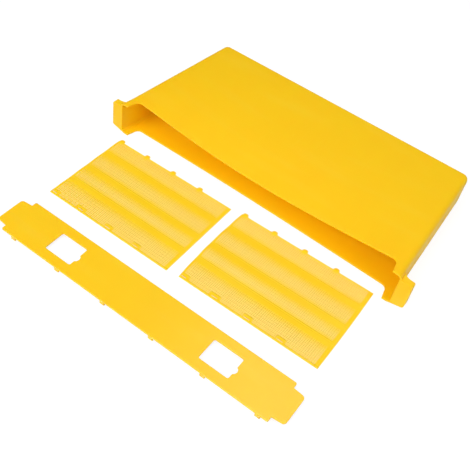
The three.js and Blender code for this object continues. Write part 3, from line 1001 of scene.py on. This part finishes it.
class Nodes:
    """Short calls for building a material's nodes."""

    def __init__(self, name):
        self.material = bpy.data.materials.new(name)
        self.material.use_nodes = True
        self.tree = self.material.node_tree
        self.tree.nodes.clear()

    def add(self, kind, values=None, **settings):
        node = self.tree.nodes.new(kind)
        for key, value in settings.items():
            setattr(node, key, value)
        for key, value in (values or {}).items():
            node.inputs[key].default_value = value
        return node

    def link(self, source, target):
        self.tree.links.new(source, target)

    def noise(self, coordinates, scale, detail=2, stretch=None):
        source = coordinates
        if stretch:
            mapping = self.add("ShaderNodeMapping", {"Scale": stretch})
            self.link(coordinates, mapping.inputs["Vector"])
            source = mapping.outputs["Vector"]
        node = self.add("ShaderNodeTexNoise", {"Scale": scale, "Detail": detail})
        self.link(source, node.inputs["Vector"])
        return node.outputs["Fac"]

    def spread(self, value, low, high, to_low, to_high):
        node = self.add("ShaderNodeMapRange", {
            "From Min": low, "From Max": high, "To Min": to_low, "To Max": to_high,
        })
        self.link(value, node.inputs["Value"])
        return node.outputs["Result"]

    def mix(self, factor, colour_a, colour_b):
        node = self.add("ShaderNodeMix", data_type="RGBA")
        self.link(factor, node.inputs[0])
        for socket, colour in ((node.inputs[6], colour_a), (node.inputs[7], colour_b)):
            if isinstance(colour, tuple):
                socket.default_value = (*colour, 1)
            else:
                self.link(colour, socket)
        return node.outputs[2]

    def bump(self, height, distance, strength, normal=None):
        node = self.add("ShaderNodeBump", {"Distance": distance, "Strength": strength})
        self.link(height, node.inputs["Height"])
        if normal:
            self.link(normal, node.inputs["Normal"])
        return node.outputs["Normal"]


def plastic(name, base, deep, pale, roughness, gloss, depth, patchy):
    """Moulded polypropylene: soft clouds, flow lines, scuffs, fine grain and worn edges."""
    nodes = Nodes(name)
    place = nodes.add("ShaderNodeTexCoord").outputs["Object"]
    colour = base
    for mark, tint in ((CLOUDS, deep), (FLOW_LINES, pale), (SCUFFS, pale)):
        value = nodes.noise(place, mark.scale, mark.detail, mark.stretch)
        colour = nodes.mix(nodes.spread(value, mark.low, mark.high, 0, mark.most), colour, tint)
    edges = nodes.add("ShaderNodeNewGeometry").outputs["Pointiness"]
    colour = nodes.mix(nodes.spread(edges, EDGE_LOW, EDGE_HIGH, 0, EDGE_MOST), colour, pale)
    patches = nodes.noise(place, PATCH_SCALE, PATCH_DETAIL)
    smoothest = roughness - SMOOTHER * patchy
    roughest = roughness + ROUGHER * patchy
    rough = nodes.spread(patches, NOISE_LOW, NOISE_HIGH, smoothest, roughest)
    normal = None
    for bump in (WAVE, GRAIN):
        height = nodes.noise(place, bump.scale, bump.detail)
        normal = nodes.bump(height, bump.distance, bump.strength, normal)
    shader = nodes.add("ShaderNodeBsdfPrincipled", {
        "IOR": 1.49,
        "Specular IOR Level": gloss,
        "Subsurface Weight": 0.35,
        "Subsurface Radius": (1, 0.55, 0.05),
        "Subsurface Scale": depth,
    })
    nodes.link(colour, shader.inputs["Base Color"])
    nodes.link(rough, shader.inputs["Roughness"])
    nodes.link(normal, shader.inputs["Normal"])
    output = nodes.add("ShaderNodeOutputMaterial")
    nodes.link(shader.outputs["BSDF"], output.inputs["Surface"])
    return nodes.material


def floor_material():
    """Pale floor: its own white stands for the backdrop, and the object's soft shadow stays."""
    nodes = Nodes("floor_paper")
    place = nodes.add("ShaderNodeTexCoord").outputs["Object"]
    fleck = nodes.noise(place, FLECK_SCALE)
    colour = nodes.mix(nodes.spread(fleck, NOISE_LOW, NOISE_HIGH, 0, 1), *FLOOR_GREYS)
    seen = nodes.add("ShaderNodeBsdfDiffuse")
    nodes.link(colour, seen.inputs["Color"])
    glow = nodes.add("ShaderNodeEmission", {"Color": (1, 1, 1, 1), "Strength": FLOOR_GLOW})
    both = nodes.add("ShaderNodeAddShader")
    nodes.link(seen.outputs[0], both.inputs[0])
    nodes.link(glow.outputs[0], both.inputs[1])
    unseen = nodes.add("ShaderNodeBsdfDiffuse", {"Color": FLOOR_UNSEEN})
    path = nodes.add("ShaderNodeLightPath")
    choose = nodes.add("ShaderNodeMixShader")
    nodes.link(path.outputs["Is Camera Ray"], choose.inputs[0])
    nodes.link(unseen.outputs[0], choose.inputs[1])
    nodes.link(both.outputs[0], choose.inputs[2])
    output = nodes.add("ShaderNodeOutputMaterial")
    nodes.link(choose.outputs[0], output.inputs["Surface"])
    return nodes.material


# Stage, lights and camera.

CAMERA_PLACE = (328.78, -605.48, 724.14)
CAMERA_AZIMUTH = math.radians(33.01)
CAMERA_ELEVATION = math.radians(45.68)
CAMERA_ROLL = math.radians(7.97)
CAMERA_LENS = 56.892
CAMERA_SHIFT = (0.0633, -0.08713)
SENSOR_WIDTH = 36
CLIP_START = 0.05
CLIP_END = 30

# Lamps, in metres and watts.
Softbox = namedtuple("Softbox", "name place target size power")
SOFTBOXES = (
    Softbox("overhead", (0.26, 0.05, 1.9), (0.26, 0.05, 0), (1.48, 2.3), 19),
    Softbox("front", (-0.5, -1.8, 1.5), (0, 0, 0), (1.6, 1.2), 34),
    Softbox("side", (1.9, -0.7, 1.0), (0, 0, 0), (1.0, 1.0), 10),
)
# A faint lamp under the trough's upper wall, for the daylight that the thin plastic lets through.
WALL_GLOW_DEPTH = 54.0
WALL_GLOW_HEIGHT = 34.0
WALL_GLOW_SIZE = (424.0, 60.0)
WALL_GLOW_POWER = 0.0165
WALL_GLOW_COLOUR = (1, 0.7, 0.04)
WORLD_LIGHT = 0.224
FLOOR_HALF = 4.0
FLOOR_DROP = 0.0003


def make_camera():
    data = bpy.data.cameras.new("camera")
    data.sensor_width = SENSOR_WIDTH
    data.lens = CAMERA_LENS
    data.shift_x, data.shift_y = CAMERA_SHIFT
    data.clip_start = CLIP_START
    data.clip_end = CLIP_END
    camera = bpy.data.objects.new("camera", data)
    bpy.context.scene.collection.objects.link(camera)
    flat = math.cos(CAMERA_ELEVATION)
    look = Vector((
        -math.sin(CAMERA_AZIMUTH) * flat,
        math.cos(CAMERA_AZIMUTH) * flat,
        -math.sin(CAMERA_ELEVATION),
    ))
    level = Vector((math.cos(CAMERA_AZIMUTH), math.sin(CAMERA_AZIMUTH), 0))
    upright = level.cross(look)
    right = level * math.cos(CAMERA_ROLL) + upright * math.sin(CAMERA_ROLL)
    up = upright * math.cos(CAMERA_ROLL) - level * math.sin(CAMERA_ROLL)
    turn = Matrix((right, up, -look)).transposed().to_4x4()
    low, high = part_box("trough")
    mouth = Vector(((low.x + high.x) / 2, low.y, 0))
    camera.matrix_world = Matrix.Translation(mouth + Vector(CAMERA_PLACE) * MM) @ turn
    bpy.context.scene.camera = camera


def softbox(name, place, target, size, power, colour=(1, 1, 1)):
    data = bpy.data.lights.new(name, "AREA")
    data.shape = "RECTANGLE"
    data.size, data.size_y = size
    data.energy = power
    data.color = colour
    light = bpy.data.objects.new(name, data)
    light.location = place
    direction = Vector(target) - Vector(place)
    light.rotation_euler = direction.to_track_quat("-Z", "Y").to_euler()
    bpy.context.scene.collection.objects.link(light)
    return light


def light_through_wall():
    low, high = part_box("trough")
    middle = Vector(((low.x + high.x) / 2, low.y + WALL_GLOW_DEPTH * MM, low.z))
    place = middle + UP * WALL_GLOW_HEIGHT * MM
    size = [side * MM for side in WALL_GLOW_SIZE]
    light = softbox("through_wall", place, middle, size, WALL_GLOW_POWER, WALL_GLOW_COLOUR)
    light.visible_camera = False


def make_world():
    """White behind everything that the camera sees, and a lower even light on the object."""
    world = bpy.data.worlds.new("studio")
    world.use_nodes = True
    tree = world.node_tree
    tree.nodes.clear()
    background = tree.nodes.new("ShaderNodeBackground")
    background.inputs["Color"].default_value = (1, 1, 1, 1)
    path = tree.nodes.new("ShaderNodeLightPath")
    level = tree.nodes.new("ShaderNodeMapRange")
    level.inputs["To Min"].default_value = WORLD_LIGHT
    level.inputs["To Max"].default_value = 1
    output = tree.nodes.new("ShaderNodeOutputWorld")
    tree.links.new(path.outputs["Is Camera Ray"], level.inputs["Value"])
    tree.links.new(level.outputs["Result"], background.inputs["Strength"])
    tree.links.new(background.outputs[0], output.inputs["Surface"])
    bpy.context.scene.world = world


def make_stage():
    signs = ((-1, -1), (1, -1), (1, 1), (-1, 1))
    corners = [(x * FLOOR_HALF, y * FLOOR_HALF, 0) for x, y in signs]
    placement = Matrix.Translation((0, 0, -FLOOR_DROP))
    floor = mesh_object("floor", corners, [(0, 1, 2, 3)], placement)
    floor.data.materials.append(floor_material())
    for lamp in SOFTBOXES:
        softbox(*lamp)
    light_through_wall()
    make_world()
    bpy.context.scene.view_settings.view_transform = "Standard"


def dress(objects, material):
    for obj in objects:
        obj.data.materials.clear()
        obj.data.materials.append(material)


make_camera()
make_stage()

trough_plastic = plastic(
    "trough_plastic",
    base=(0.99, 0.585, 0.003), deep=(0.98, 0.55, 0.002), pale=(1.0, 0.65, 0.03),
    roughness=0.42, gloss=0.25, depth=0.003, patchy=1,
)
cap_plastic = plastic(
    "cap_plastic",
    base=(0.99, 0.59, 0.005), deep=(0.98, 0.56, 0.004), pale=(1.0, 0.66, 0.05),
    roughness=0.26, gloss=0.55, depth=0.003, patchy=0.15,
)
ladder_plastic = plastic(
    "ladder_plastic",
    base=(1.0, 0.63, 0.01), deep=(0.99, 0.59, 0.008), pale=(1.0, 0.68, 0.06),
    roughness=0.45, gloss=0.25, depth=0.0006, patchy=1,
)

trough = make_trough()
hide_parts("trough")
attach(trough, "trough_body")
dress([trough], trough_plastic)

cap = make_cap()
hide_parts("cap")
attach(cap, "cap_body")
dress([cap], cap_plastic)

for ladder_side in LADDERS:
    dress(make_ladder(ladder_side), ladder_plastic)
